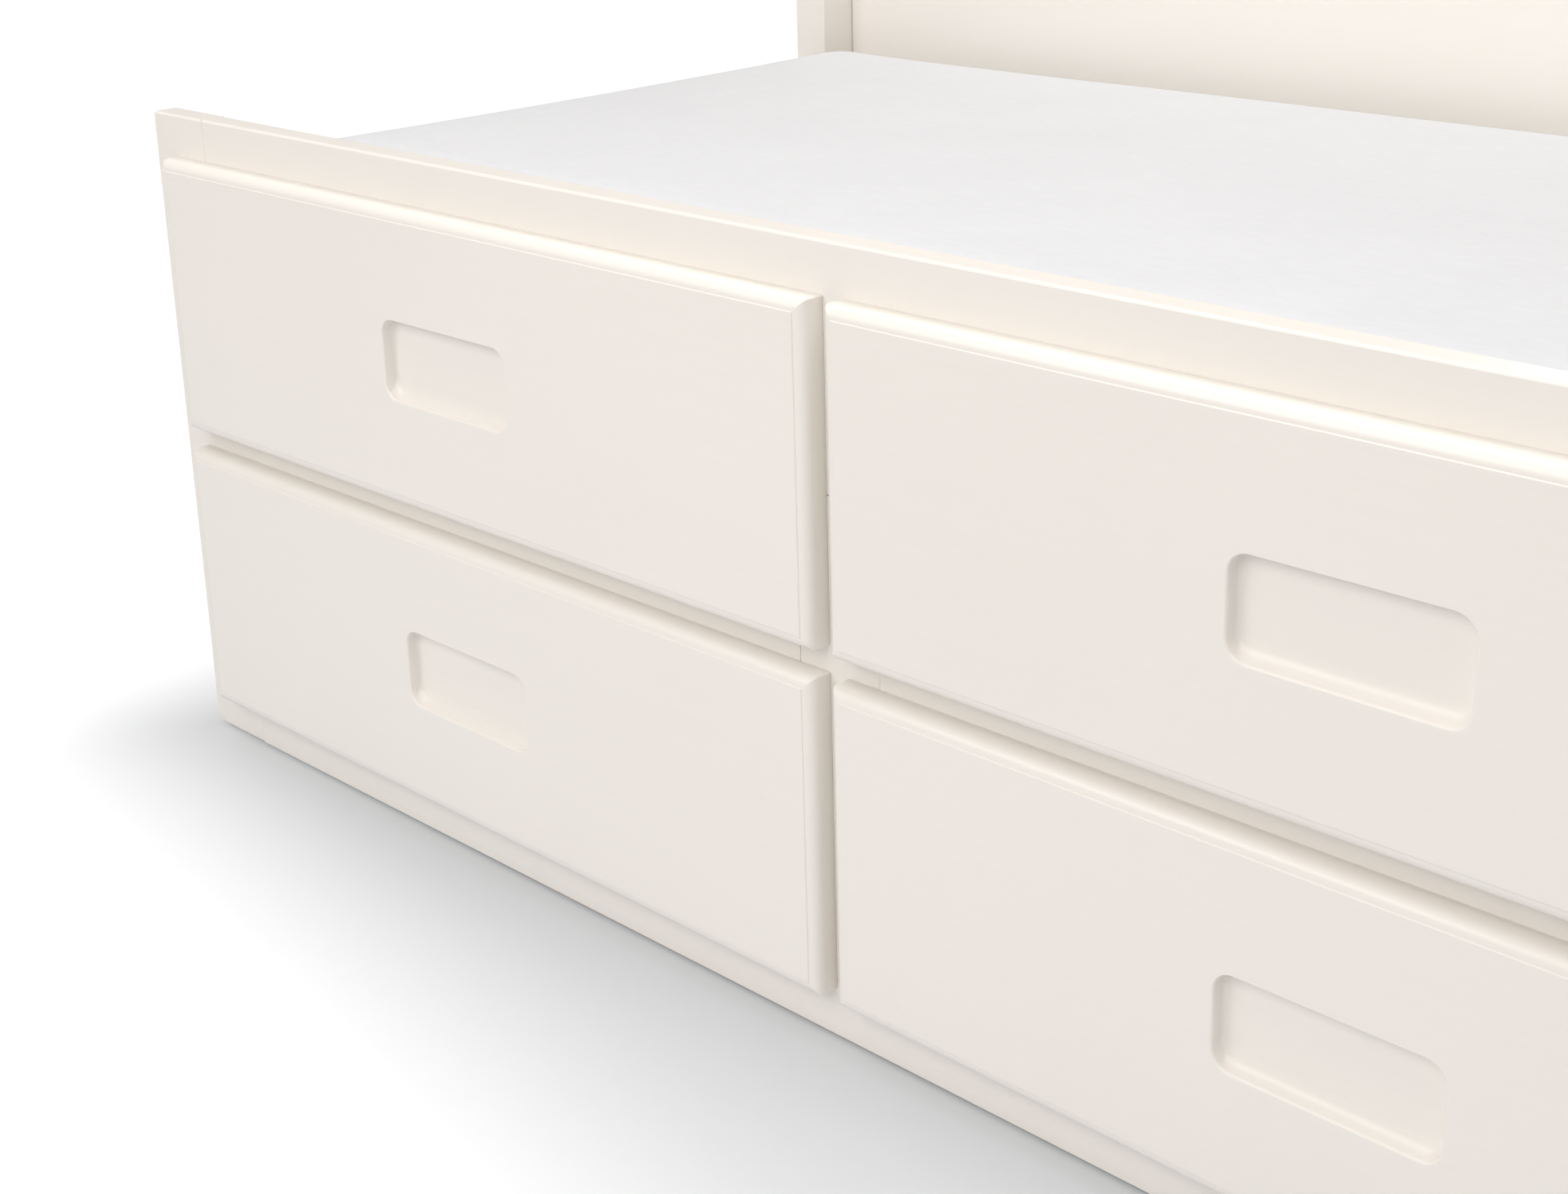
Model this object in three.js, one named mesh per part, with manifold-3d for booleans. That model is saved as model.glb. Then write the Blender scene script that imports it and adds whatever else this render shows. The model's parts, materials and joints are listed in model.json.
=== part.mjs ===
// A captain's bed: a face frame with four overlay drawers along the front, low boarded ends, a tall
// panelled back between two posts, and a slatted base with its mattress.
// Millimetres. +X runs along the bed, +Y to its back and +Z up. The origin is on the floor, under the
// middle of the bed.

import * as THREE from "three";
import { mergeVertices } from "three/addons/utils/BufferGeometryUtils.js";
import Module from "manifold-3d";

// ---------------------------------------------------------------- driving dimensions

const LENGTH = 2000; // over the two ends
const DEPTH = 1080; // drawer faces to the back of the posts
const RAIL_TOP = 710; // top of the front rail
const BACK_TOP = 1000; // top of the posts
const FLOOR_GAP = 3; // height of the glides
const FIT = 0.3; // gap between pieces that touch

const FRAME_BOARD = 27; // thickness of the front stiles and rails
const STILE_WIDTH = 95;
const CENTRE_STILE_WIDTH = 90;
const TOP_RAIL_HEIGHT = 210;
const MID_RAIL_HEIGHT = 60;
const BOTTOM_RAIL_HEIGHT = 67;
const STILE_FOOT_RADIUS = 16;

const FRONT_PROUD = 25; // drawer face in front of the frame face
const FRONT_THICKNESS = 24.4; // leaves a fine gap between a front and the frame
const FRONT_HEIGHT = 296;
const FRONT_END_MARGIN = 44; // bare stile beside the outer drawer fronts
const FRONT_BOTTOM_MARGIN = 47; // bare rail under the lower drawer fronts
const ROW_GAP = 24;
const COLUMN_GAP = 20;
const FRONT_EDGE_RADIUS = 10; // rounded edge, mitred at the corners

const PULL_WIDTH = 187; // pocket routed in each drawer front as its handle
const PULL_HEIGHT = 81;
const PULL_DEPTH = 13;
const PULL_CORNER_RADIUS = 17;
const PULL_COVE_RADIUS = 9;

const BOX_LENGTH = 560; // drawer box, behind its front
const BOX_BOARD = 13;
const BOX_SIDE_CLEARANCE = 5; // box to the edge of its opening
const BOX_LIFT = 6; // box above the bottom of its opening
const BOX_HEADROOM = { lower: 34, upper: 10 }; // opening above the box sides
const BOX_BOTTOM_THICKNESS = 6;
const BOX_BOTTOM_LIFT = 10;

const RUNNER_LEDGE = 16; // how far a runner reaches under its drawer side
const RUNNER_LEDGE_HEIGHT = 18;
const RUNNER_GUIDE_HEIGHT = 60;
const RUNNER_GUIDE_WIDTH = 34;
const RUNNER_RUNNING_GAP = 1;

const END_THICKNESS = 20;
const END_TOP = 620;
const PARTITION_THICKNESS = 18;

const POST_WIDTH = 52;
const POST_DEPTH = 80;
const BACK_PANEL_THICKNESS = 18;
const BACK_PANEL_RECESS = 54; // panel face behind the front of the posts
const BACK_PANEL_SIDE_GAP = 1.5;
const BACK_RAIL_THICKNESS = 34;
const BACK_TOP_RAIL_HEIGHT = 80;
const BACK_BOTTOM_RAIL_HEIGHT = 90;
const BACK_BOTTOM_RAIL_Z = 40;

const SLAT_COUNT = 10;
const SLAT_WIDTH = 90;
const SLAT_THICKNESS = 16;
const LEDGER_HEIGHT = 27;
const FRONT_LEDGER_WIDTH = 30;
const BACK_LEDGER_WIDTH = 45;

const MATTRESS_LENGTH = 1900;
const MATTRESS_WIDTH = 900;
const MATTRESS_THICKNESS = 130;
const MATTRESS_CORNER_RADIUS = 45;
const MATTRESS_EDGE_RADIUS = 22;
const MATTRESS_END_GAP = 1;
const MATTRESS_BACK_GAP = 3;

const GLIDE_RADIUS = 11;
const ARC_SEGMENTS = 4;

// ---------------------------------------------------------------- places worked out from them

const END_X = LENGTH / 2;
const FACE_Y = FRONT_PROUD - DEPTH / 2; // front face of the frame
const FRAME_BACK_Y = FACE_Y + FRAME_BOARD;
const BACK_Y = DEPTH / 2;
const POST_FRONT_Y = BACK_Y - POST_DEPTH;
const PANEL_FRONT_Y = POST_FRONT_Y + BACK_PANEL_RECESS;

const STILE_INNER_X = END_X - STILE_WIDTH;
const CENTRE_STILE_X = CENTRE_STILE_WIDTH / 2;
const TOP_RAIL_BOTTOM = RAIL_TOP - TOP_RAIL_HEIGHT;
const BOTTOM_RAIL_TOP = FLOOR_GAP + BOTTOM_RAIL_HEIGHT;

const LOWER_FRONT_Z = FLOOR_GAP + FRONT_BOTTOM_MARGIN;
const UPPER_FRONT_Z = LOWER_FRONT_Z + FRONT_HEIGHT + ROW_GAP;
const MID_RAIL_CENTRE = UPPER_FRONT_Z - ROW_GAP / 2;
const MID_RAIL_BOTTOM = MID_RAIL_CENTRE - MID_RAIL_HEIGHT / 2;
const MID_RAIL_TOP = MID_RAIL_CENTRE + MID_RAIL_HEIGHT / 2;

const SLAT_BOTTOM = TOP_RAIL_BOTTOM + LEDGER_HEIGHT;
const SLAT_TOP = SLAT_BOTTOM + SLAT_THICKNESS;
const END_INNER_X = END_X - END_THICKNESS;

const LACQUER = { color: 0xebe4de, roughness: 0.38, metalness: 0 };
const RAW_WOOD = { color: 0xd9bd94, roughness: 0.7, metalness: 0 };
const TICKING = { color: 0xeeeef0, roughness: 0.9, metalness: 0 };
const GLIDE_PLASTIC = { color: 0xd6d4d0, roughness: 0.6, metalness: 0 };

const wasm = await Module();
wasm.setup();
const bed = new THREE.Group();

// ---------------------------------------------------------------- shaping helpers

function addPiece(name, geometry, finish) {
  const mesh = new THREE.Mesh(geometry, new THREE.MeshStandardMaterial(finish));
  mesh.name = name;
  bed.add(mesh);
  return mesh;
}

// A square-cut board between two limits on each axis.
function addBoard(name, x, y, z, finish) {
  const geometry = new THREE.BoxGeometry(x[1] - x[0], y[1] - y[0], z[1] - z[0]);
  const board = addPiece(name, geometry, finish);
  board.position.set((x[0] + x[1]) / 2, (y[0] + y[1]) / 2, (z[0] + z[1]) / 2);
  return board;
}

// An outline in X and Z, given thickness towards -Y from the plane y = 0.
function extrudeForward(outline, thickness, bevel) {
  const options = { depth: thickness, curveSegments: ARC_SEGMENTS, bevelEnabled: false, ...bevel };
  return new THREE.ExtrudeGeometry(outline, options).rotateX(Math.PI / 2);
}

// A rounded edge of this radius that stays inside the outline.
function roundedEdge(radius) {
  return {
    bevelEnabled: true,
    bevelThickness: radius,
    bevelSize: radius,
    bevelOffset: -radius,
    bevelSegments: ARC_SEGMENTS,
  };
}

function rectangle(width, height) {
  const outline = new THREE.Shape();
  outline.moveTo(-width / 2, -height / 2);
  outline.lineTo(width / 2, -height / 2);
  outline.lineTo(width / 2, height / 2);
  outline.lineTo(-width / 2, height / 2);
  outline.closePath();
  return outline;
}

function roundedRectangle(width, height, radius) {
  const x = width / 2;
  const y = height / 2;
  const outline = new THREE.Shape();
  outline.absarc(x - radius, y - radius, radius, 0, Math.PI / 2);
  outline.absarc(radius - x, y - radius, radius, Math.PI / 2, Math.PI);
  outline.absarc(radius - x, radius - y, radius, Math.PI, Math.PI * 1.5);
  outline.absarc(x - radius, radius - y, radius, Math.PI * 1.5, Math.PI * 2);
  outline.closePath();
  return outline;
}

function toSolid(geometry) {
  const bare = geometry.clone();
  bare.deleteAttribute("normal");
  bare.deleteAttribute("uv");
  const merged = mergeVertices(bare, 1e-4);
  const vertProperties = Float32Array.from(merged.attributes.position.array);
  const triVerts = Uint32Array.from(merged.index.array);
  return new wasm.Manifold(new wasm.Mesh({ numProp: 3, vertProperties, triVerts }));
}

function toGeometry(solid) {
  const { vertProperties, triVerts } = solid.getMesh();
  const geometry = new THREE.BufferGeometry();
  geometry.setAttribute("position", new THREE.BufferAttribute(vertProperties, 3));
  geometry.setIndex(new THREE.BufferAttribute(triVerts, 1));
  geometry.computeVertexNormals();
  return geometry;
}

// ---------------------------------------------------------------- front frame

// side is -1 for the left end and 1 for the right end.
function addStile(name, side) {
  const width = STILE_WIDTH;
  const height = RAIL_TOP - FLOOR_GAP;
  const radius = STILE_FOOT_RADIUS;
  const outline = new THREE.Shape();
  outline.moveTo(0, 0);
  outline.lineTo(width - radius, 0);
  outline.absarc(width - radius, radius, radius, -Math.PI / 2, 0);
  outline.lineTo(width, height);
  outline.lineTo(0, height);
  outline.closePath();
  const geometry = extrudeForward(outline, FRAME_BOARD);
  if (side < 0) {
    geometry.rotateZ(Math.PI).translate(0, -FRAME_BOARD, 0);
  }
  const stile = addPiece(name, geometry, LACQUER);
  stile.position.set(side * STILE_INNER_X, FRAME_BACK_Y, FLOOR_GAP);
}

function addFrontFrame() {
  const y = [FACE_Y, FRAME_BACK_Y];
  const railEnd = STILE_INNER_X - FIT;
  const midRailEnd = CENTRE_STILE_X + FIT;
  const midRailZ = [MID_RAIL_BOTTOM, MID_RAIL_TOP];
  const centreZ = [BOTTOM_RAIL_TOP + FIT, TOP_RAIL_BOTTOM - FIT];
  addStile("front_left_stile", -1);
  addStile("front_right_stile", 1);
  addBoard("front_top_rail", [-railEnd, railEnd], y, [TOP_RAIL_BOTTOM, RAIL_TOP], LACQUER);
  addBoard("front_bottom_rail", [-railEnd, railEnd], y, [FLOOR_GAP, BOTTOM_RAIL_TOP], LACQUER);
  addBoard("front_centre_stile", [-CENTRE_STILE_X, CENTRE_STILE_X], y, centreZ, LACQUER);
  addBoard("front_mid_rail_left", [-railEnd, -midRailEnd], y, midRailZ, LACQUER);
  addBoard("front_mid_rail_right", [midRailEnd, railEnd], y, midRailZ, LACQUER);
}

// ---------------------------------------------------------------- ends, partition and back

function addEndsAndPartition() {
  const endY = [FRAME_BACK_Y + FIT, POST_FRONT_Y - FIT];
  const endZ = [FLOOR_GAP, END_TOP];
  const partitionX = [-PARTITION_THICKNESS / 2, PARTITION_THICKNESS / 2];
  const partitionY = [FRAME_BACK_Y + FIT, PANEL_FRONT_Y - FIT];
  addBoard("left_end_panel", [-END_X, -END_INNER_X], endY, endZ, LACQUER);
  addBoard("right_end_panel", [END_INNER_X, END_X], endY, endZ, LACQUER);
  addBoard("centre_partition", partitionX, partitionY, [FLOOR_GAP, TOP_RAIL_BOTTOM - FIT], RAW_WOOD);
}

function addBack() {
  const postY = [POST_FRONT_Y, BACK_Y];
  const postZ = [FLOOR_GAP, BACK_TOP];
  const postInner = END_X - POST_WIDTH;
  const railX = [FIT - postInner, postInner - FIT];
  const railMiddle = PANEL_FRONT_Y + BACK_PANEL_THICKNESS / 2;
  const topRailY = [railMiddle - BACK_RAIL_THICKNESS / 2, railMiddle + BACK_RAIL_THICKNESS / 2];
  const topRailBottom = BACK_TOP - BACK_TOP_RAIL_HEIGHT;
  const bottomRailY = [PANEL_FRONT_Y, PANEL_FRONT_Y + BACK_PANEL_THICKNESS];
  const bottomRailTop = BACK_BOTTOM_RAIL_Z + BACK_BOTTOM_RAIL_HEIGHT;
  const panelX = [BACK_PANEL_SIDE_GAP - postInner, postInner - BACK_PANEL_SIDE_GAP];
  addBoard("back_left_post", [-END_X, -postInner], postY, postZ, LACQUER);
  addBoard("back_right_post", [postInner, END_X], postY, postZ, LACQUER);
  addBoard("back_top_rail", railX, topRailY, [topRailBottom, BACK_TOP], LACQUER);
  addBoard("back_bottom_rail", railX, bottomRailY, [BACK_BOTTOM_RAIL_Z, bottomRailTop], LACQUER);
  addBoard("back_panel", panelX, bottomRailY, [bottomRailTop + FIT, topRailBottom - FIT], LACQUER);
}

// ---------------------------------------------------------------- slatted base and mattress

function addLedgers() {
  const x = [FIT - END_INNER_X, END_INNER_X - FIT];
  const z = [TOP_RAIL_BOTTOM, SLAT_BOTTOM];
  const front = FRAME_BACK_Y + FIT;
  const back = POST_FRONT_Y - FIT;
  addBoard("front_slat_ledger", x, [front, front + FRONT_LEDGER_WIDTH], z, RAW_WOOD);
  addBoard("back_slat_ledger", x, [back - BACK_LEDGER_WIDTH, back], z, RAW_WOOD);
}

function addSlats() {
  const pitch = (2 * END_INNER_X) / SLAT_COUNT;
  const y = [FRAME_BACK_Y + 3, POST_FRONT_Y - 3];
  const z = [SLAT_BOTTOM + FIT, SLAT_TOP];
  for (let i = 0; i < SLAT_COUNT; i += 1) {
    const middle = -END_INNER_X + pitch * (i + 0.5);
    const x = [middle - SLAT_WIDTH / 2, middle + SLAT_WIDTH / 2];
    addBoard(`slat_${String(i + 1).padStart(2, "0")}`, x, y, z, RAW_WOOD);
  }
}

function addMattress() {
  const radius = MATTRESS_EDGE_RADIUS;
  const outline = roundedRectangle(MATTRESS_LENGTH, MATTRESS_WIDTH, MATTRESS_CORNER_RADIUS);
  const geometry = new THREE.ExtrudeGeometry(outline, {
    depth: MATTRESS_THICKNESS - 2 * radius,
    curveSegments: ARC_SEGMENTS,
    ...roundedEdge(radius),
  });
  const mattress = addPiece("mattress", geometry, TICKING);
  const x = END_INNER_X - MATTRESS_END_GAP - MATTRESS_LENGTH / 2;
  const y = POST_FRONT_Y - MATTRESS_BACK_GAP - MATTRESS_WIDTH / 2;
  mattress.position.set(x, y, SLAT_TOP + FIT + radius);
}

// ---------------------------------------------------------------- drawers and their runners

// A drawer opening in the front frame. side is -1 for the left column and 1 for the right one.
function openingLimits(row, side) {
  const inner = side * CENTRE_STILE_X;
  const outer = side * STILE_INNER_X;
  const z = row === "lower" ? [BOTTOM_RAIL_TOP, MID_RAIL_BOTTOM] : [MID_RAIL_TOP, TOP_RAIL_BOTTOM];
  return { x: [Math.min(inner, outer), Math.max(inner, outer)], z };
}

function pullPocket() {
  const outline = roundedRectangle(PULL_WIDTH, PULL_HEIGHT, PULL_CORNER_RADIUS);
  const cutter = extrudeForward(outline, PULL_DEPTH, roundedEdge(PULL_COVE_RADIUS));
  return cutter.translate(0, PULL_DEPTH - PULL_COVE_RADIUS, 0);
}

// The face is at y = 0 and the back at y = FRONT_THICKNESS, centred on the middle of the front.
function drawerFront(width) {
  const outline = rectangle(width, FRONT_HEIGHT);
  const slab = extrudeForward(outline, FRONT_THICKNESS, roundedEdge(FRONT_EDGE_RADIUS));
  slab.translate(0, FRONT_THICKNESS + FRONT_EDGE_RADIUS, 0);
  const behind = new THREE.BoxGeometry(width + 2, 2 * FRONT_EDGE_RADIUS, FRONT_HEIGHT + 2);
  behind.translate(0, FRONT_THICKNESS + FRONT_EDGE_RADIUS, 0);
  return toSolid(slab).subtract(toSolid(behind)).subtract(toSolid(pullPocket()));
}

function addDrawerFront(name, row, side) {
  const width = END_X - FRONT_END_MARGIN - COLUMN_GAP / 2;
  const x = side * (COLUMN_GAP / 2 + width / 2);
  const z = (row === "lower" ? LOWER_FRONT_Z : UPPER_FRONT_Z) + FRONT_HEIGHT / 2;
  const front = addPiece(`${name}_front`, toGeometry(drawerFront(width)), LACQUER);
  front.position.set(x, FACE_Y - FRONT_PROUD, z);
}

function addDrawerBox(name, row, side) {
  const opening = openingLimits(row, side);
  const left = opening.x[0] + BOX_SIDE_CLEARANCE;
  const right = opening.x[1] - BOX_SIDE_CLEARANCE;
  const innerX = [left + BOX_BOARD + FIT, right - BOX_BOARD - FIT];
  const frontY = FACE_Y - FRONT_PROUD + FRONT_THICKNESS + FIT;
  const y = [frontY, frontY + BOX_LENGTH];
  const backY = [y[1] - BOX_BOARD, y[1]];
  const z = [opening.z[0] + BOX_LIFT, opening.z[1] - BOX_HEADROOM[row]];
  const bottomZ = [z[0] + BOX_BOTTOM_LIFT, z[0] + BOX_BOTTOM_LIFT + BOX_BOTTOM_THICKNESS];
  addBoard(`${name}_left_side`, [left, left + BOX_BOARD], y, z, RAW_WOOD);
  addBoard(`${name}_right_side`, [right - BOX_BOARD, right], y, z, RAW_WOOD);
  addBoard(`${name}_back`, innerX, backY, z, RAW_WOOD);
  addBoard(`${name}_bottom`, innerX, [y[0], backY[0] - FIT], bottomZ, RAW_WOOD);
}

// An L in section: a guide beside the drawer side, and a ledge that the side slides on.
// towards is 1 when the drawer is on the guide's +X side, and -1 when it is on the other.
function addRunner(name, guideX, towards, openingFloor, length) {
  const ledgeTop = openingFloor + BOX_LIFT - RUNNER_RUNNING_GAP;
  const outline = new THREE.Shape();
  outline.moveTo(-RUNNER_GUIDE_WIDTH, -RUNNER_LEDGE_HEIGHT);
  outline.lineTo(RUNNER_LEDGE, -RUNNER_LEDGE_HEIGHT);
  outline.lineTo(RUNNER_LEDGE, 0);
  outline.lineTo(0, 0);
  outline.lineTo(0, RUNNER_GUIDE_HEIGHT - RUNNER_LEDGE_HEIGHT);
  outline.lineTo(-RUNNER_GUIDE_WIDTH, RUNNER_GUIDE_HEIGHT - RUNNER_LEDGE_HEIGHT);
  outline.closePath();
  const geometry = extrudeForward(outline, length).translate(0, length, 0);
  if (towards < 0) {
    geometry.rotateZ(Math.PI).translate(0, length, 0);
  }
  const runner = addPiece(name, geometry, RAW_WOOD);
  runner.position.set(guideX, FRAME_BACK_Y + FIT, ledgeTop);
}

function addDrawers() {
  const runnerLength = PANEL_FRONT_Y - FRAME_BACK_Y - 2 * FIT;
  for (const [column, side] of [["left", -1], ["right", 1]]) {
    for (const row of ["lower", "upper"]) {
      const name = `${row}_${column}_drawer`;
      const opening = openingLimits(row, side);
      addDrawerFront(name, row, side);
      addDrawerBox(name, row, side);
      addRunner(`${name}_left_runner`, opening.x[0], 1, opening.z[0], runnerLength);
      addRunner(`${name}_right_runner`, opening.x[1], -1, opening.z[0], runnerLength);
    }
  }
}

// ---------------------------------------------------------------- glides

function addGlides() {
  const stileX = END_X - STILE_WIDTH / 2;
  const postX = END_X - POST_WIDTH / 2;
  const spots = [
    ["front_left_glide", -stileX, FACE_Y + FRAME_BOARD / 2],
    ["front_right_glide", stileX, FACE_Y + FRAME_BOARD / 2],
    ["back_left_glide", -postX, BACK_Y - POST_DEPTH / 2],
    ["back_right_glide", postX, BACK_Y - POST_DEPTH / 2],
  ];
  for (const [name, x, y] of spots) {
    const geometry = new THREE.CylinderGeometry(GLIDE_RADIUS, GLIDE_RADIUS, FLOOR_GAP - FIT, 16);
    const glide = addPiece(name, geometry.rotateX(Math.PI / 2), GLIDE_PLASTIC);
    glide.position.set(x, y, (FLOOR_GAP - FIT) / 2);
  }
}

addFrontFrame();
addEndsAndPartition();
addBack();
addLedgers();
addSlats();
addMattress();
addDrawers();
addGlides();

export default bed;
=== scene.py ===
"""Looks for the stone-white captain's bed: lacquered face frame, four overlay drawers with routed pulls,
a panelled back, a slatted base and a mattress. Metres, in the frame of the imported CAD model."""

import json
import math
import bpy
import bmesh
from mathutils import Matrix, Vector


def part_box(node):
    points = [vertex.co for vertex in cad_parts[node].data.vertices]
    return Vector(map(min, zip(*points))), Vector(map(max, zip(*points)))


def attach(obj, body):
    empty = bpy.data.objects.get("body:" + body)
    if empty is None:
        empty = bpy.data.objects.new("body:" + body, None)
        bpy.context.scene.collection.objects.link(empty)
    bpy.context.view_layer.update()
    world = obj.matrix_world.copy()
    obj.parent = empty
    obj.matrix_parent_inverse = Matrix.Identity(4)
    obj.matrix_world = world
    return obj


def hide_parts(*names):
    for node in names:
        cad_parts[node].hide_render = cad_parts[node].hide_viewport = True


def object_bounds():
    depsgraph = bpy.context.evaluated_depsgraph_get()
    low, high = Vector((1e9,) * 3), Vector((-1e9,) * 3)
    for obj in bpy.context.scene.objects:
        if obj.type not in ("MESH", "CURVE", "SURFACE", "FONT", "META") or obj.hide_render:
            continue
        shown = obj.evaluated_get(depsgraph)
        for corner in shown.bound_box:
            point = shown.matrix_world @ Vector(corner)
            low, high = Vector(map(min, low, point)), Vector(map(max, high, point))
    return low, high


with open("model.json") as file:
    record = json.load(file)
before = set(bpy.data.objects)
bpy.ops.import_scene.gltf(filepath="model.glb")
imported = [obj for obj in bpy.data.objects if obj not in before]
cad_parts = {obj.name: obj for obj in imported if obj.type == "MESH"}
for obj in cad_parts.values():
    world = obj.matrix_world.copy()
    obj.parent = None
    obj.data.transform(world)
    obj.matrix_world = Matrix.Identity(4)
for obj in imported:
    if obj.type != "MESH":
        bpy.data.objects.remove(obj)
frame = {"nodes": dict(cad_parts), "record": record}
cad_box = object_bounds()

MM = 0.001

# ---------------------------------------------------------------- dimensions of the finish

ARRIS = 3.0 * MM  # rounded outer edges of the frame
SOFT_EDGE = 2.2 * MM  # posts, back rail and ends
FREE_EDGE = 1.0 * MM  # lightly sanded edges
JOINT_EDGE = 0.1 * MM  # edges that meet another board
FOOT_RADIUS = 16 * MM
RAW_EDGE = 1.2 * MM

FRONT_CORNER = 1.2 * MM  # nearly sharp, so that the rounded edges meet in mitres
FRONT_ROUND = 10 * MM  # rounded edge of a drawer front
FRONT_STEP = 1.0 * MM  # the face stands this far above the rounded edge
FRONT_STEP_INSET = 10.4 * MM
FRONT_REACH = 0.4 * MM  # the finish closes most of the fine gap behind a front
FACE_MARGIN = 0.5 * MM  # a narrow ring that keeps the shading of the face flat

PULL_SIZE = (187 * MM, 81 * MM)
PULL_CORNER = 17 * MM
PULL_DEPTH = 13 * MM
PULL_RIM = 2.4 * MM
PULL_TOP_RIM_SHARE = 0.25  # the rim is crisper along the top
PULL_SIDE_FILLET = 3 * MM
PULL_TOP_FILLET = 1.2 * MM
PULL_COVE_HEIGHT = 15 * MM  # the cove along the bottom of a pull
PULL_COVE_DEPTH = 10 * MM
CORNER_STEPS = 8

MATTRESS_CORNER = 45 * MM
MATTRESS_START_INSET = 4 * MM
MATTRESS_EDGE = 20 * MM
MATTRESS_VOXEL = 12 * MM
MATTRESS_SWELL = 7 * MM  # how far the simulated cover may move
MATTRESS_EDGE_STEPS = 6
CLOTH_FRAMES = 20
CLOTH_QUALITY = 5
CLOTH_PRESSURE = 4.0
SEAM_FROM_EDGE = 17 * MM
SEAM_HOLD = 0.6 * MATTRESS_VOXEL  # half the width of the strip of cover that a seam holds still
PIPING_RADIUS = 2.4 * MM
PIPING_RISE = 1.2 * MM  # how far the middle of the piping stands out of the cover
PIPING_SIDES = 10

# ---------------------------------------------------------------- colours, linear

LACQUER_TINT = (0.930, 0.897, 0.850)
LACQUER_SHADE = (0.918, 0.885, 0.838)
PINE_LIGHT = (0.73, 0.55, 0.34)
PINE_DARK = (0.53, 0.35, 0.185)
SLAT_LIGHT = (0.78, 0.62, 0.41)
SLAT_DARK = (0.60, 0.42, 0.235)
TICKING_LIGHT = (0.775, 0.798, 0.832)
TICKING_SHADE = (0.760, 0.782, 0.816)
# painted shade: the floor near the bed is grey rather than white, to darken the shadow round the bed
FLOOR_PAINTED_SHADE_TINT = (0.72, 0.75, 0.785)
FLOOR_WHITE = 1.3
FLOOR_WHITE_SHARE = 0.75
PAINTED_SHADE_FADE = (0.03, 0.48)  # distance from the bed over which the painted shade round the bed fades into white
PAINTED_SHADE_LEAN = (-0.19, 0.0, 0.0)  # the painted shade round the bed is narrower at its left end and wider at its right, as if lit from the left
PAINTED_SHADE_LEAN_START = -0.057
FLOOR_HALF_SIZE = 40
AMBIENT = 0.42  # brightness of the white room around the bed
LIGHT_TINT = (0.96, 0.926, 0.893)  # slightly warm, as the photo's lamps

# ---------------------------------------------------------------- camera

CAMERA_LENS = 53.6
CAMERA_SHIFT = -0.10
CAMERA_PLACE = (1.230, -1.786, 1.114)
CAMERA_YAW, CAMERA_PITCH, CAMERA_ROLL = 45.37, 17.7, -1.57  # degrees


# ---------------------------------------------------------------- material helpers


class Graph:
    """A material and short calls that add and link its nodes."""

    def __init__(self, name):
        self.material = bpy.data.materials.new(name)
        self.material.use_nodes = True
        self.tree = self.material.node_tree
        self.tree.nodes.clear()
        self.shader = self.add("ShaderNodeBsdfPrincipled")
        out = self.add("ShaderNodeOutputMaterial")
        self.link(self.shader, "BSDF", out, "Surface")

    def add(self, kind, **settings):
        node = self.tree.nodes.new(kind)
        for key, value in settings.items():
            setattr(node, key, value)
        return node

    def link(self, source, output, target, entry):
        self.tree.links.new(source.outputs[output], target.inputs[entry])

    def set(self, **values):
        for key, value in values.items():
            self.shader.inputs[key.replace("_", " ")].default_value = value

    def place(self, scale, shuffle):
        """Object coordinates, stretched, and shifted by a different amount on each piece."""
        coords = self.add("ShaderNodeTexCoord")
        mapping = self.add("ShaderNodeMapping")
        mapping.inputs["Scale"].default_value = scale
        self.link(coords, "Object", mapping, "Vector")
        if shuffle:
            info = self.add("ShaderNodeObjectInfo")
            shift = self.add("ShaderNodeVectorMath", operation="SCALE")
            shift.inputs[0].default_value = (17.0, 29.0, 41.0)
            self.link(info, "Random", shift, "Scale")
            self.link(shift, "Vector", mapping, "Location")
        return mapping

    def noise(self, scale, detail=3.0, roughness=0.5, distortion=0.0, shuffle=True):
        texture = self.add("ShaderNodeTexNoise")
        texture.inputs["Scale"].default_value = 1.0
        texture.inputs["Detail"].default_value = detail
        texture.inputs["Roughness"].default_value = roughness
        texture.inputs["Distortion"].default_value = distortion
        self.link(self.place(scale, shuffle), "Vector", texture, "Vector")
        return texture

    def ramp(self, source, output, stops):
        node = self.add("ShaderNodeValToRGB")
        elements = node.color_ramp.elements
        while len(elements) < len(stops):
            elements.new(0.5)
        for element, (place, colour) in zip(elements, stops):
            element.position = place
            element.color = (*colour, 1) if isinstance(colour, tuple) else (colour,) * 3 + (1,)
        self.link(source, output, node, "Fac")
        return node

    def mix(self, kind, factor, first, second):
        """Mixes two colour outputs; factor is a number or a (node, output) pair."""
        node = self.add("ShaderNodeMix", data_type="RGBA", blend_type=kind)
        if isinstance(factor, tuple):
            self.tree.links.new(factor[0].outputs[factor[1]], node.inputs[0])
        else:
            node.inputs[0].default_value = factor
        self.tree.links.new(first, node.inputs[6])
        self.tree.links.new(second, node.inputs[7])
        return node.outputs[2]

    def bump(self, height, strength, distance, after=None):
        node = self.add("ShaderNodeBump")
        node.inputs["Strength"].default_value = strength
        node.inputs["Distance"].default_value = distance
        self.tree.links.new(height, node.inputs["Height"])
        if after is not None:
            self.tree.links.new(after.outputs["Normal"], node.inputs["Normal"])
        return node

    def finish(self, colour, roughness, normal):
        self.tree.links.new(colour, self.shader.inputs["Base Color"])
        self.tree.links.new(roughness, self.shader.inputs["Roughness"])
        self.tree.links.new(normal.outputs["Normal"], self.shader.inputs["Normal"])
        return self.material


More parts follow.
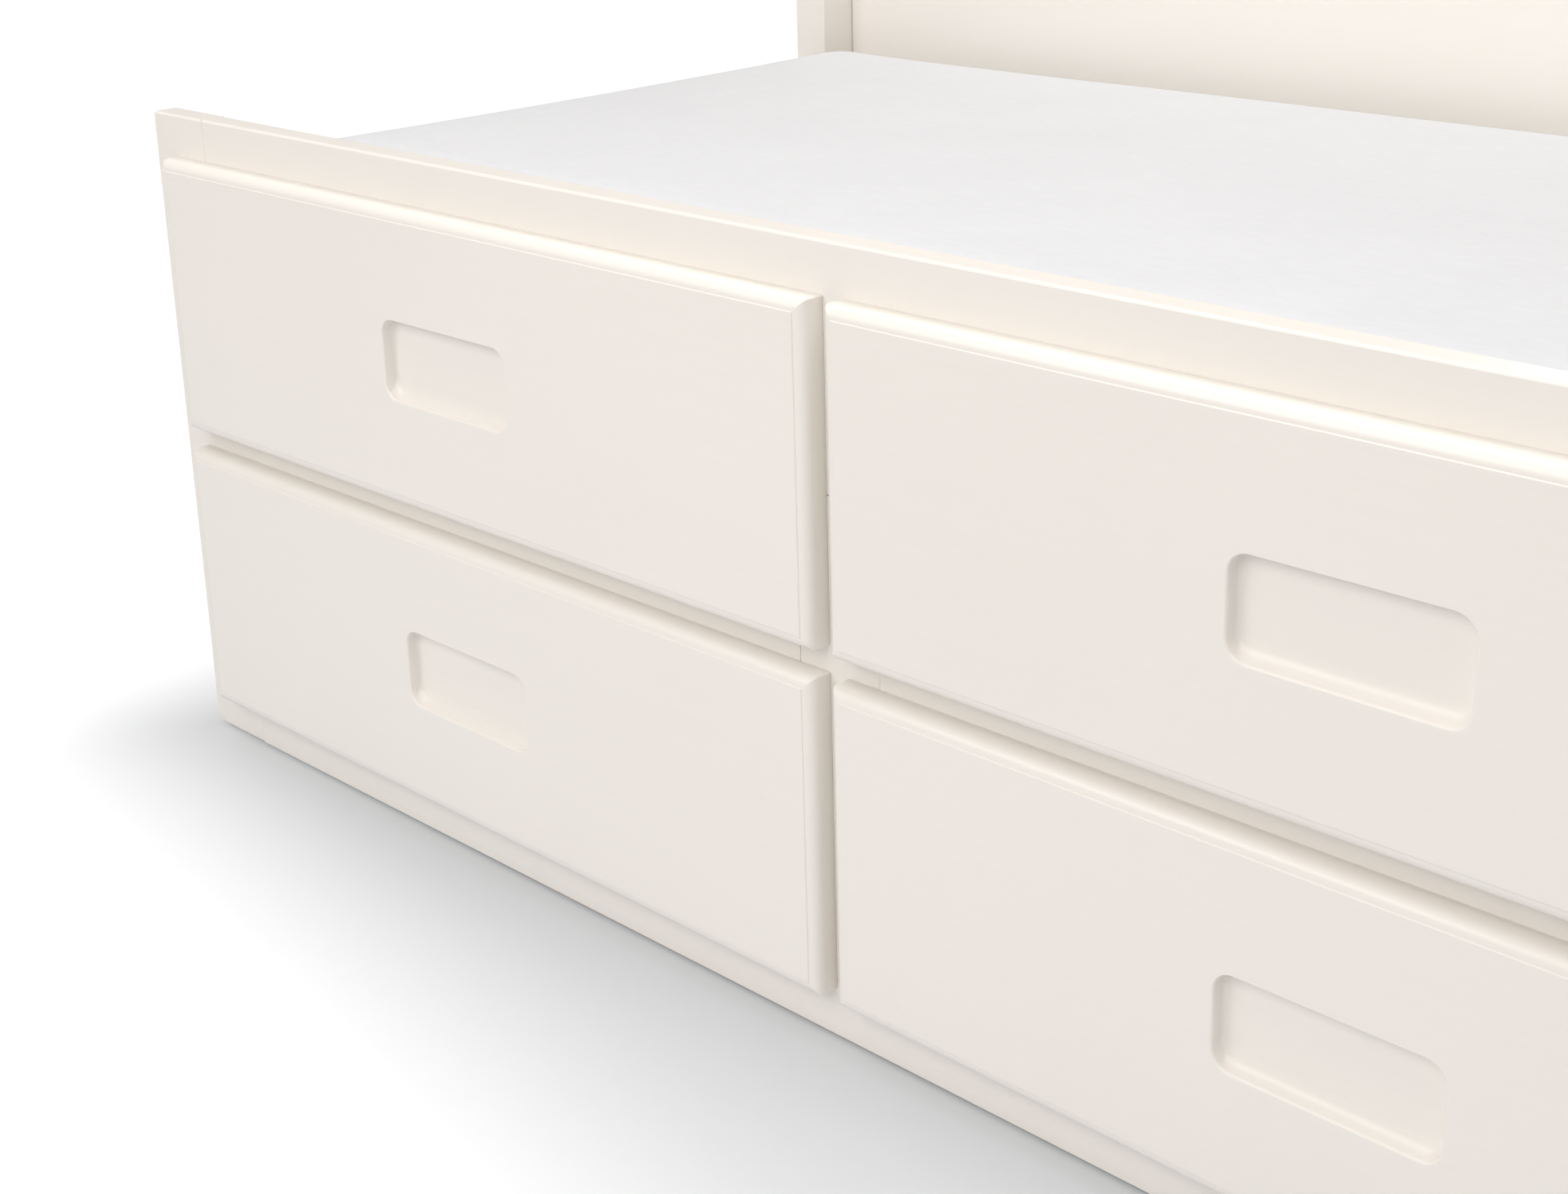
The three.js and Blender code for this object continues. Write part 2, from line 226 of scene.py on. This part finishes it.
def along(axis, length_scale, cross_scale):
    """A texture scale that stretches a pattern along one axis."""
    return tuple(length_scale if i == "xyz".index(axis) else cross_scale for i in range(3))


def edge_mask(graph, radius):
    """1 on the very edge of a piece and 0 on its flats."""
    bevel = graph.add("ShaderNodeBevel", samples=4)
    bevel.inputs["Radius"].default_value = radius
    geometry = graph.add("ShaderNodeNewGeometry")
    dot = graph.add("ShaderNodeVectorMath", operation="DOT_PRODUCT")
    graph.link(bevel, "Normal", dot, 0)
    graph.link(geometry, "True Normal", dot, 1)
    return graph.ramp(dot, "Value", [(0.75, 1.0), (0.99, 0.0)])


def lacquer(axis):
    """Sprayed satin lacquer over sanded wood, with the grain just telegraphing through along axis."""
    graph = Graph(f"stone_white_lacquer_{axis}")
    graph.set(IOR=1.5, Specular_IOR_Level=0.5, Coat_Weight=0.2, Coat_Roughness=0.18)
    cloudy = graph.noise((2.2, 2.2, 2.2), detail=2.0)
    tone = graph.ramp(cloudy, "Fac", [(0.35, LACQUER_SHADE), (0.62, LACQUER_TINT)])
    grain = graph.noise(along(axis, 5, 260), detail=4.0, roughness=0.6, distortion=0.4)
    faint = graph.ramp(grain, "Fac", [(0.3, 0.992), (0.6, 1.0)])
    colour = graph.mix("MULTIPLY", 1.0, tone.outputs["Color"], faint.outputs["Color"])
    worn = graph.ramp(graph.noise((55, 55, 55)), "Fac", [(0.4, 0.0), (0.75, 1.0)])
    edge = edge_mask(graph, 1.5 * MM)
    rubbed = graph.mix("MULTIPLY", 1.0, worn.outputs["Color"], edge.outputs["Color"])
    pale = graph.add("ShaderNodeRGB")
    pale.outputs[0].default_value = (0.90, 0.855, 0.80, 1)
    scaled = graph.add("ShaderNodeMath", operation="MULTIPLY")
    scaled.inputs[1].default_value = 0.5
    graph.tree.links.new(rubbed, scaled.inputs[0])
    colour = graph.mix("MIX", (scaled, 0), colour, pale.outputs[0])
    peel = graph.noise((420, 420, 420), detail=2.0)
    gloss = graph.ramp(graph.noise((9, 9, 9), detail=4.0), "Fac", [(0.3, 0.30), (0.7, 0.37)])
    low = graph.bump(grain.outputs["Fac"], 0.10, 0.05 * MM)
    fine = graph.bump(peel.outputs["Fac"], 0.14, 0.06 * MM, after=low)
    return graph.finish(colour, gloss.outputs["Color"], fine)


def bare_wood(name, axis, light, dark):
    """Sanded softwood: broad growth rings, fine fibres and a few darker streaks, all along axis."""
    graph = Graph(f"{name}_{axis}")
    graph.set(IOR=1.45, Specular_IOR_Level=0.3)
    rings = graph.noise(along(axis, 0.9, 24), detail=2.0, distortion=1.2)
    bands = graph.add("ShaderNodeMath", operation="MULTIPLY")
    bands.inputs[1].default_value = 9.0
    wave = graph.add("ShaderNodeMath", operation="FRACT")
    graph.link(rings, "Fac", bands, 0)
    graph.link(bands, 0, wave, 0)
    ring_tone = graph.ramp(wave, 0, [(0.0, light), (0.72, dark), (0.9, light)])
    fibres = graph.noise(along(axis, 12, 700), detail=4.0, roughness=0.65)
    fibre_tone = graph.ramp(fibres, "Fac", [(0.3, 0.80), (0.62, 1.0)])
    body = graph.add("ShaderNodeRGB")
    body.outputs[0].default_value = (*light, 1)
    colour = graph.mix("MIX", 0.42, body.outputs[0], ring_tone.outputs["Color"])
    colour = graph.mix("MULTIPLY", 0.75, colour, fibre_tone.outputs["Color"])
    blotch = graph.ramp(graph.noise((3, 3, 3)), "Fac", [(0.3, 0.88), (0.7, 1.0)])
    colour = graph.mix("MULTIPLY", 1.0, colour, blotch.outputs["Color"])
    rough = graph.ramp(fibres, "Fac", [(0.3, 0.72), (0.7, 0.58)])
    normal = graph.bump(fibres.outputs["Fac"], 0.35, 0.25 * MM)
    return graph.finish(colour, rough.outputs["Color"], normal)


def ticking():
    """Pale woven mattress cover: fine crossed threads, slubs and a soft sheen."""
    graph = Graph("mattress_ticking")
    graph.set(Sheen_Weight=0.25, Sheen_Roughness=0.5, Specular_IOR_Level=0.2)
    cloudy = graph.noise((7, 7, 7), detail=3.0, shuffle=False)
    tone = graph.ramp(cloudy, "Fac", [(0.35, TICKING_SHADE), (0.65, TICKING_LIGHT)])
    threads = []
    for bands in ("X", "Y"):
        wave = graph.add("ShaderNodeTexWave", wave_type="BANDS", bands_direction=bands)
        wave.inputs["Scale"].default_value = 260.0
        wave.inputs["Distortion"].default_value = 1.2
        wave.inputs["Detail"].default_value = 1.0
        wave.inputs["Detail Scale"].default_value = 0.4
        graph.link(graph.place((1, 1, 1), False), "Vector", wave, "Vector")
        threads.append(wave.outputs["Fac"])
    weave = graph.mix("LIGHTEN", 1.0, *threads)
    slubs = graph.noise((55, 190, 190), detail=3.0, shuffle=False)
    flecks = graph.ramp(slubs, "Fac", [(0.3, 0.975), (0.62, 1.0)])
    colour = graph.mix("MULTIPLY", 1.0, tone.outputs["Color"], flecks.outputs["Color"])
    shade = graph.mix("MULTIPLY", 0.06, colour, weave)
    rough = graph.ramp(slubs, "Fac", [(0.3, 0.95), (0.7, 0.82)])
    low = graph.bump(slubs.outputs["Fac"], 0.25, 0.35 * MM)
    fine = graph.bump(weave, 0.35, 0.25 * MM, after=low)
    return graph.finish(shade, rough.outputs["Color"], fine)


def glide_plastic():
    graph = Graph("glide_nylon")
    graph.set(Specular_IOR_Level=0.4)
    grit = graph.noise((800, 800, 800), detail=3.0)
    tone = graph.ramp(grit, "Fac", [(0.3, (0.60, 0.59, 0.56)), (0.7, (0.68, 0.67, 0.64))])
    rough = graph.ramp(grit, "Fac", [(0.3, 0.5), (0.7, 0.7)])
    normal = graph.bump(grit.outputs["Fac"], 0.2, 0.1 * MM)
    return graph.finish(tone.outputs["Color"], rough.outputs["Color"], normal)


LACQUER = {axis: lacquer(axis) for axis in "xyz"}
PINE = {axis: bare_wood("pine", axis, PINE_LIGHT, PINE_DARK) for axis in "xyz"}
SLAT_WOOD = bare_wood("slat_pine", "y", SLAT_LIGHT, SLAT_DARK)
TICKING = ticking()
GLIDE = glide_plastic()


# ---------------------------------------------------------------- piece helpers


def body_of_node(node):
    groups = frame["record"]["behaviour"]["bodies"]
    return next(body for body, nodes in groups.items() if node in nodes)


def new_piece(name, bm, material, sharp_angle=40):
    """A mesh object from bm, smooth-shaded with hard edges where faces meet at more than sharp_angle."""
    bmesh.ops.recalc_face_normals(bm, faces=bm.faces)
    mesh = bpy.data.meshes.new(name)
    bm.to_mesh(mesh)
    bm.free()
    mesh.shade_smooth()
    mesh.set_sharp_from_angle(angle=math.radians(sharp_angle))
    mesh.materials.append(material)
    piece = bpy.data.objects.new(name, mesh)
    bpy.context.scene.collection.objects.link(piece)
    return piece


def stand_for(piece, node):
    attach(piece, body_of_node(node))
    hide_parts(node)
    return piece


def ease_edges(piece, width, segments):
    """Rounds the edges by their bevel weight, as a share of width."""
    bevel = piece.modifiers.new("eased_edges", "BEVEL")
    bevel.limit_method = "WEIGHT"
    bevel.width = width
    bevel.segments = segments
    bevel.use_clamp_overlap = False
    bevel.harden_normals = True


# ---------------------------------------------------------------- lacquered boards


def eased_prism(node, outline, y_limits, end_softness, material):
    """A board whose outline in X and Z is a list of (x, z, softness of the side that starts there), with the
    softness of its front and back faces in end_softness. An edge is as soft as the harder of its faces."""
    bm = bmesh.new()
    weight = bm.edges.layers.float.new("bevel_weight_edge")
    rows = [[bm.verts.new((x, y, z)) for x, z, _ in outline] for y in y_limits]
    for row in rows:
        bm.faces.new(row)
    count = len(outline)
    for i in range(count):
        j = (i + 1) % count
        bm.faces.new((rows[0][i], rows[0][j], rows[1][j], rows[1][i]))
        side = outline[i][2]
        for row, softness in zip(rows, end_softness):
            bm.edges.get((row[i], row[j]))[weight] = min(side, softness) / ARRIS
        before = outline[i - 1]
        corner = bm.edges.get((rows[0][i], rows[1][i]))
        turn = Vector((outline[j][0] - outline[i][0], outline[j][1] - outline[i][1]))
        came = Vector((outline[i][0] - before[0], outline[i][1] - before[1]))
        if abs(came.angle(turn)) > math.radians(30):
            corner[weight] = min(side, before[2]) / ARRIS
    piece = new_piece(f"{node}_eased", bm, material)
    ease_edges(piece, ARRIS, 4)
    return stand_for(piece, node)


def eased_board(node, axis, low_x=FREE_EDGE, high_x=FREE_EDGE, low_z=FREE_EDGE, high_z=FREE_EDGE, ends=None):
    """A square board with a softness for each of its faces; ends is that of its front and back."""
    low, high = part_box(node)
    outline = [
        (low.x, low.z, low_z),
        (high.x, low.z, high_x),
        (high.x, high.z, high_z),
        (low.x, high.z, low_x),
    ]
    return eased_prism(node, outline, (low.y, high.y), ends or (FREE_EDGE, FREE_EDGE), LACQUER[axis])


def stile(node, side):
    """A front stile; its lower outer corner is rounded, and only its inner side meets the rails."""
    low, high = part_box(node)
    outer, inner = (low.x, high.x) if side < 0 else (high.x, low.x)
    outline = [(inner, high.z, ARRIS), (outer, high.z, ARRIS)]
    centre = Vector((outer - side * FOOT_RADIUS, low.z + FOOT_RADIUS))
    for step in range(CORNER_STEPS + 1):
        angle = math.pi / 2 * step / CORNER_STEPS
        x = centre.x + side * FOOT_RADIUS * math.cos(angle)
        outline.append((x, centre.y - FOOT_RADIUS * math.sin(angle), ARRIS))
    outline.append((inner, low.z, JOINT_EDGE))
    return eased_prism(node, outline, (low.y, high.y), (ARRIS, FREE_EDGE), LACQUER["z"])


def front_frame():
    joint, free = JOINT_EDGE, FREE_EDGE
    stile("front_left_stile", -1)
    stile("front_right_stile", 1)
    eased_board("front_top_rail", "x", joint, joint, free, ARRIS, (ARRIS, ARRIS))
    eased_board("front_bottom_rail", "x", joint, joint, free, free, (free, free))
    eased_board("front_centre_stile", "z", free, free, joint, joint)
    eased_board("front_mid_rail_left", "x", joint, joint)
    eased_board("front_mid_rail_right", "x", joint, joint)


def back_and_ends():
    joint, soft = JOINT_EDGE, SOFT_EDGE
    for side in ("left", "right"):
        eased_board(f"{side}_end_panel", "y", soft, soft, FREE_EDGE, soft, (joint, joint))
        eased_board(f"back_{side}_post", "z", soft, soft, FREE_EDGE, soft, (soft, soft))
    eased_board("back_top_rail", "x", joint, joint, FREE_EDGE, soft, (soft, soft))
    eased_board("back_bottom_rail", "x", joint, joint)
    eased_board("back_panel", "x", joint, joint, joint, joint, (joint, joint))


# ---------------------------------------------------------------- drawer fronts


def corner_loop(left, right, bottom, top, radius, y):
    """A rounded rectangle in the plane y, always with the same number of points."""
    points = []
    corners = (
        (right - radius, top - radius, 0),
        (left + radius, top - radius, 1),
        (left + radius, bottom + radius, 2),
        (right - radius, bottom + radius, 3),
    )
    for x, z, quarter in corners:
        for step in range(CORNER_STEPS + 1):
            angle = math.pi / 2 * (quarter + step / CORNER_STEPS)
            points.append((x + radius * math.cos(angle), y, z + radius * math.sin(angle)))
    return points


def front_edge_profile(thickness):
    """(inset, height above the back) from the back face round the edge to the face."""
    shoulder = thickness - FRONT_STEP - FRONT_ROUND
    profile = [(0.1 * MM, -FRONT_REACH), (0.0, 0.1 * MM - FRONT_REACH), (0.0, shoulder - 0.5 * MM)]
    for step in range(9):
        angle = math.pi / 2 * step / 8
        inset = FRONT_ROUND * (1 - math.cos(angle))
        profile.append((inset, shoulder + FRONT_ROUND * math.sin(angle)))
    top = thickness - FRONT_STEP
    profile += [
        (FRONT_STEP_INSET, top),
        (FRONT_STEP_INSET + 0.2 * MM, top + 0.15 * MM),
        (FRONT_STEP_INSET + 0.4 * MM, thickness - 0.25 * MM),
        (FRONT_STEP_INSET + 0.75 * MM, thickness),
        (FRONT_STEP_INSET + 0.75 * MM + FACE_MARGIN, thickness),
    ]
    return profile


def fillet_inset(depth, width, reach):
    """How far in a wall stands at this depth, if its fillet is this wide and starts reach above the floor."""
    into = min(max(depth - (PULL_DEPTH - reach), 0.0) / reach, 1.0)
    return width * (1 - math.sqrt(1 - into * into))


def pull_loops(x, z, face_y):
    """The routed pull: a rolled rim, straight walls, small fillets at the sides and a wide cove below."""
    half_x, half_z = PULL_SIZE[0] / 2, PULL_SIZE[1] / 2
    loops = []

    def ring(spread, depth, side=0.0, below=0.0, above=0.0):
        top = spread * PULL_TOP_RIM_SHARE
        left, right = x - half_x - spread + side, x + half_x + spread - side
        bottom, top = z - half_z - spread + below, z + half_z + top - above
        loops.append(corner_loop(left, right, bottom, top, PULL_CORNER + spread - 0.6 * side, face_y + depth))

    ring(PULL_RIM / 2 + FACE_MARGIN, 0.0)
    for step in range(7):
        angle = math.pi / 2 * step / 6
        ring(PULL_RIM * (0.5 - math.sin(angle)), PULL_RIM * (1 - math.cos(angle)))
    for step in range(1, 15):
        depth = PULL_RIM + (PULL_DEPTH - PULL_RIM) * math.sin(math.pi / 2 * step / 14)
        side = fillet_inset(depth, PULL_SIDE_FILLET, PULL_SIDE_FILLET)
        below = fillet_inset(depth, PULL_COVE_HEIGHT, PULL_COVE_DEPTH)
        above = fillet_inset(depth, PULL_TOP_FILLET, PULL_TOP_FILLET)
        ring(-PULL_RIM / 2, depth, side, below, above)
    return loops


def loft(bm, loops):
    """A closed skin through matching loops, capped at both ends."""
    rows = [[bm.verts.new(point) for point in loop] for loop in loops]
    count = len(rows[0])
    for first, second in zip(rows, rows[1:]):
        for i in range(count):
            j = (i + 1) % count
            bm.faces.new((first[i], first[j], second[j], second[i]))
    bm.faces.new(rows[0])
    bm.faces.new(rows[-1])


def drawer_front(node):
    low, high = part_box(node)
    loops = []
    for inset, height in front_edge_profile(high.y - low.y):
        radius = max(FRONT_CORNER - inset, 0.3 * MM)
        bounds = (low.x + inset, high.x - inset, low.z + inset, high.z - inset)
        loops.append(corner_loop(*bounds, radius, high.y - height))
    loops += pull_loops((low.x + high.x) / 2, (low.z + high.z) / 2, low.y)
    bm = bmesh.new()
    loft(bm, loops)
    piece = new_piece(f"{node}_routed", bm, LACQUER["x"], sharp_angle=50)
    return stand_for(piece, node)


def drawer_fronts():
    for row in ("lower", "upper"):
        for column in ("left", "right"):
            drawer_front(f"{row}_{column}_drawer_front")


# ---------------------------------------------------------------- bare wood and glides, the CAD's own solids


def grain_axis(node):
    low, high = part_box(node)
    size = high - low
    return "xyz"[max(range(3), key=lambda i: size[i])]


def dress(node, material, edge):
    """Gives a CAD node its finish and a small chamfer on its edges."""
    piece = frame["nodes"][node]
    piece.data.materials.clear()
    piece.data.materials.append(material)
    weld = piece.modifiers.new("weld", "WELD")
    weld.merge_threshold = 0.02 * MM
    bevel = piece.modifiers.new("chamfer", "BEVEL")
    bevel.limit_method = "ANGLE"
    bevel.angle_limit = math.radians(40)
    bevel.width = edge
    bevel.segments = 2


def bare_pieces():
    for subpart in frame["record"]["subparts"]:
        node, slot = subpart["node"], subpart["material_slot"]
        if slot == "inner_wood":
            dress(node, PINE[grain_axis(node)], RAW_EDGE)
        elif slot == "slat_wood":
            dress(node, SLAT_WOOD, 2 * RAW_EDGE)
        elif slot == "glide_plastic":
            dress(node, GLIDE, 0.6 * MM)


# ---------------------------------------------------------------- mattress


def mattress_start(low, high):
    """A slab with rounded edges, a little smaller than the finished mattress."""
    inset = MATTRESS_START_INSET
    loops = []
    steps = MATTRESS_EDGE_STEPS
    for row in range(2 * steps + 2):
        upper = row > steps
        angle = math.pi / 2 * ((row - steps - 1) / steps if upper else 1 - row / steps)
        drawn_in = inset + MATTRESS_EDGE * (1 - math.cos(angle))
        rise = MATTRESS_EDGE * math.sin(angle)
        z = high.z - inset - MATTRESS_EDGE + rise if upper else low.z + MATTRESS_EDGE - rise
        bounds = (low.x + drawn_in, high.x - drawn_in, low.y + drawn_in, high.y - drawn_in)
        loop = corner_loop(*bounds, MATTRESS_CORNER - drawn_in, z)
        loops.append([(x, y, height) for x, height, y in loop])
    bm = bmesh.new()
    loft(bm, loops)
    return bm


def apply_modifiers(piece):
    graph = bpy.context.evaluated_depsgraph_get()
    made = bpy.data.meshes.new_from_object(piece.evaluated_get(graph))
    piece.modifiers.clear()
    old, piece.data = piece.data, made
    bpy.data.meshes.remove(old)


def remesh(piece, size):
    modifier = piece.modifiers.new("remesh", "REMESH")
    modifier.mode = "VOXEL"
    modifier.voxel_size = size
    modifier.use_smooth_shade = True
    apply_modifiers(piece)


def seam_heights(low, high):
    return low.z + SEAM_FROM_EDGE, high.z - SEAM_FROM_EDGE


def hold_seams(piece, low, high):
    """A vertex group that keeps the underside and the two sewn edges still."""
    group = piece.vertex_groups.new(name="held")
    middle = (low + high) / 2
    for vertex in piece.data.vertices:
        at_side = min(high.x - vertex.co.x, vertex.co.x - low.x, high.y - vertex.co.y, vertex.co.y - low.y)
        near_seam = min(abs(vertex.co.z - z) for z in seam_heights(low, high)) < SEAM_HOLD
        underside = vertex.co.z < middle.z and at_side > MATTRESS_EDGE
        if underside or (near_seam and at_side < MATTRESS_EDGE):
            group.add([vertex.index], 1.0, "REPLACE")
    return group.name


def swell(piece, low, high):
    """Blows the cover up a little between its seams, caps how far it moved and keeps the result."""
    rest = [vertex.co.copy() for vertex in piece.data.vertices]
    cloth = piece.modifiers.new("cloth", "CLOTH")
    cloth.settings.quality = CLOTH_QUALITY
    cloth.settings.use_pressure = True
    cloth.settings.uniform_pressure_force = CLOTH_PRESSURE
    cloth.settings.effector_weights.gravity = 0.0
    cloth.settings.vertex_group_mass = hold_seams(piece, low, high)
    cloth.point_cache.frame_start, cloth.point_cache.frame_end = 1, CLOTH_FRAMES
    for step in range(1, CLOTH_FRAMES + 1):
        bpy.context.scene.frame_set(step)
    apply_modifiers(piece)
    bpy.context.scene.frame_set(1)
    for vertex, start in zip(piece.data.vertices, rest):
        moved = vertex.co - start
        if moved.length > MATTRESS_SWELL:
            moved *= MATTRESS_SWELL / moved.length
        vertex.co = start + moved


def piping(name, low, high, z):
    """A corded seam all round the mattress, as a tube along a rounded rectangle."""
    inset = MATTRESS_START_INSET - PIPING_RISE
    bounds = (low.x + inset, high.x - inset, low.y + inset, high.y - inset)
    path = [Vector((x, y, z)) for x, _, y in corner_loop(*bounds, MATTRESS_CORNER - inset, 0)]
    bm = bmesh.new()
    rows = []
    for i, point in enumerate(path):
        ahead = (path[(i + 1) % len(path)] - path[i - 1]).normalized()
        out = ahead.cross(Vector((0, 0, 1)))
        row = []
        for step in range(PIPING_SIDES):
            angle = 2 * math.pi * step / PIPING_SIDES
            offset = out * math.cos(angle) + Vector((0, 0, 1)) * math.sin(angle)
            row.append(bm.verts.new(point + offset * PIPING_RADIUS))
        rows.append(row)
    for first, second in zip(rows, rows[1:] + rows[:1]):
        for i in range(PIPING_SIDES):
            j = (i + 1) % PIPING_SIDES
            bm.faces.new((first[i], first[j], second[j], second[i]))
    return new_piece(name, bm, TICKING, sharp_angle=80)


def mattress():
    low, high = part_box("mattress")
    piece = new_piece("mattress_cover", mattress_start(low, high), TICKING, sharp_angle=80)
    remesh(piece, MATTRESS_VOXEL)
    swell(piece, low, high)
    piece.data.shade_smooth()
    piece.data.materials.clear()
    piece.data.materials.append(TICKING)
    piece.modifiers.new("finer", "SUBSURF").render_levels = 1
    stand_for(piece, "mattress")
    for name, z in zip(("mattress_lower_piping", "mattress_upper_piping"), seam_heights(low, high)):
        cord = piping(name, low, high, z)
        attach(cord, "mattress")


# ---------------------------------------------------------------- stage, light and camera


def white_beyond_painted_shade(graph):
    """0 close to the bed, where the floor keeps its grey painted shade, and FLOOR_WHITE_SHARE further out,
    for the camera only.
    """
    low, high = cad_box
    source, output = graph.add("ShaderNodeTexCoord"), "Object"
    steps = (("ABSOLUTE", None), ("SUBTRACT", (high.x, high.y, 0)), ("MAXIMUM", (0, 0, 0)), ("LENGTH", None))
    for operation, operand in steps:
        step = graph.add("ShaderNodeVectorMath", operation=operation)
        graph.link(source, output, step, 0)
        if operand is not None:
            step.inputs[1].default_value = operand
        source, output = step, "Value" if operation == "LENGTH" else "Vector"
    # painted shade leans: the grey band round the bed is narrower at the left end, as if lit from the left
    lean = graph.add("ShaderNodeVectorMath", operation="DOT_PRODUCT")
    lean.inputs[1].default_value = PAINTED_SHADE_LEAN
    graph.link(graph.add("ShaderNodeTexCoord"), "Object", lean, 0)
    leaning = graph.add("ShaderNodeMath", operation="ADD")
    graph.link(source, output, leaning, 0)
    graph.link(lean, "Value", leaning, 1)
    reach = graph.add("ShaderNodeMath", operation="ADD")
    graph.link(leaning, 0, reach, 0)
    reach.inputs[1].default_value = PAINTED_SHADE_LEAN_START
    fade = graph.add("ShaderNodeMapRange", interpolation_type="SMOOTHSTEP")
    limits = zip(("From Min", "From Max", "To Min", "To Max"), (*PAINTED_SHADE_FADE, 0, FLOOR_WHITE_SHARE))
    for entry, value in limits:
        fade.inputs[entry].default_value = value
    graph.link(reach, 0, fade, "Value")
    seen = graph.add("ShaderNodeLightPath")
    share = graph.add("ShaderNodeMath", operation="MULTIPLY")
    graph.link(fade, "Result", share, 0)
    graph.link(seen, "Is Camera Ray", share, 1)
    return share


def floor_material():
    """Grey floor near the bed, a painted shade that deepens its rendered soft shadow, running out into a
    white backdrop. The white is only for the eye, as the room's is, and sheds no light on the bed."""
    graph = Graph("studio_floor")
    graph.set(Specular_IOR_Level=0.1)
    haze = graph.noise((0.8, 0.8, 0.8), shuffle=False)
    tone = graph.ramp(haze, "Fac", [(0.3, tuple(0.99 * c for c in FLOOR_PAINTED_SHADE_TINT)), (0.7, FLOOR_PAINTED_SHADE_TINT)])
    rough = graph.ramp(haze, "Fac", [(0.3, 0.8), (0.7, 0.9)])
    normal = graph.bump(haze.outputs["Fac"], 0.02, 0.1 * MM)
    graph.finish(tone.outputs["Color"], rough.outputs["Color"], normal)
    white = graph.add("ShaderNodeEmission")
    white.inputs["Strength"].default_value = FLOOR_WHITE
    blend = graph.add("ShaderNodeMixShader")
    graph.link(white_beyond_painted_shade(graph), 0, blend, 0)
    graph.link(graph.shader, "BSDF", blend, 1)
    graph.link(white, "Emission", blend, 2)
    out = next(node for node in graph.tree.nodes if node.type == "OUTPUT_MATERIAL")
    graph.link(blend, "Shader", out, "Surface")
    return graph.material


def stage():
    bm = bmesh.new()
    bmesh.ops.create_grid(bm, x_segments=8, y_segments=8, size=FLOOR_HALF_SIZE)
    new_piece("studio_floor", bm, floor_material())


def aim(thing, place, target):
    thing.location = place
    thing.rotation_euler = (Vector(target) - Vector(place)).to_track_quat("-Z", "Y").to_euler()


def softbox(name, place, target, size, radiance):
    """An area light whose brightness is given for its surface, so that its size can change freely."""
    light = bpy.data.lights.new(name, "AREA")
    light.shape = "RECTANGLE"
    light.size, light.size_y = size
    light.energy = math.pi * size[0] * size[1] * radiance
    light.color = LIGHT_TINT
    thing = bpy.data.objects.new(name, light)
    bpy.context.scene.collection.objects.link(thing)
    aim(thing, place, target)


def white_room():
    """A white backdrop that lights the bed less than it shows, so that the softboxes can shape it."""
    world = bpy.data.worlds.new("studio_white")
    world.use_nodes = True
    tree = world.node_tree
    room = tree.nodes["Background"]
    backdrop = tree.nodes.new("ShaderNodeBackground")
    seen = tree.nodes.new("ShaderNodeLightPath")
    blend = tree.nodes.new("ShaderNodeMixShader")
    for background, strength, colour in ((room, AMBIENT, LIGHT_TINT), (backdrop, 1.0, (1, 1, 1))):
        background.inputs["Color"].default_value = (*colour, 1)
        background.inputs["Strength"].default_value = strength
    tree.links.new(seen.outputs["Is Camera Ray"], blend.inputs[0])
    tree.links.new(room.outputs[0], blend.inputs[1])
    tree.links.new(backdrop.outputs[0], blend.inputs[2])
    tree.links.new(blend.outputs[0], tree.nodes["World Output"].inputs["Surface"])
    bpy.context.scene.world = world


def lights():
    white_room()
    softbox("left_softbox", (-1.6, -3.2, 2.6), (-0.3, -0.4, 0.4), (1.8, 1.8), 3.3)
    softbox("right_softbox", (0.9, -3.4, 2.8), (0.2, -0.4, 0.4), (1.8, 1.8), 3.4)
    softbox("low_softbox", (-0.2, -3.6, 1.4), (0.0, -0.5, 0.35), (3.0, 1.2), 0.4)
    softbox("overhead_softbox", (0.0, -0.9, 3.0), (0.0, -0.3, 0.5), (3.6, 1.6), 0.9)
    softbox("panel_softbox", (0.0, -0.2, 2.6), (0.2, 0.5, 0.8), (3.0, 0.8), 2.6)
    softbox("rear_softbox", (0.0, 3.6, 1.8), (0.0, 0.5, 0.5), (3.0, 1.8), 2.4)
    softbox("left_end_softbox", (-4.0, 0.4, 0.4), (-1.0, 0.1, 0.35), (1.8, 0.6), 4.0)
    softbox("right_end_softbox", (4.0, 0.4, 0.4), (1.0, 0.1, 0.35), (1.8, 0.6), 4.0)
    bpy.context.scene.view_settings.view_transform = "Standard"


def camera():
    """At the photograph's place: 45 degrees round from the front, above the mattress and looking down."""
    data = bpy.data.cameras.new("photo_camera")
    data.sensor_width = 36.0
    data.lens = CAMERA_LENS
    data.shift_y = CAMERA_SHIFT
    thing = bpy.data.objects.new("photo_camera", data)
    yaw, pitch, roll = (math.radians(a) for a in (CAMERA_YAW, CAMERA_PITCH, CAMERA_ROLL))
    forward = Vector((-math.sin(yaw) * math.cos(pitch), math.cos(yaw) * math.cos(pitch), -math.sin(pitch)))
    level = Vector((math.cos(yaw), math.sin(yaw), 0))
    up = level.cross(forward)
    right = math.cos(roll) * level + math.sin(roll) * up
    turned_up = math.cos(roll) * up - math.sin(roll) * level
    matrix = Matrix((right, turned_up, -forward)).transposed().to_4x4()
    matrix.translation = CAMERA_PLACE
    thing.matrix_world = matrix
    bpy.context.scene.collection.objects.link(thing)
    bpy.context.scene.camera = thing


camera()
lights()
stage()
front_frame()
back_and_ends()
drawer_fronts()
bare_pieces()
mattress()
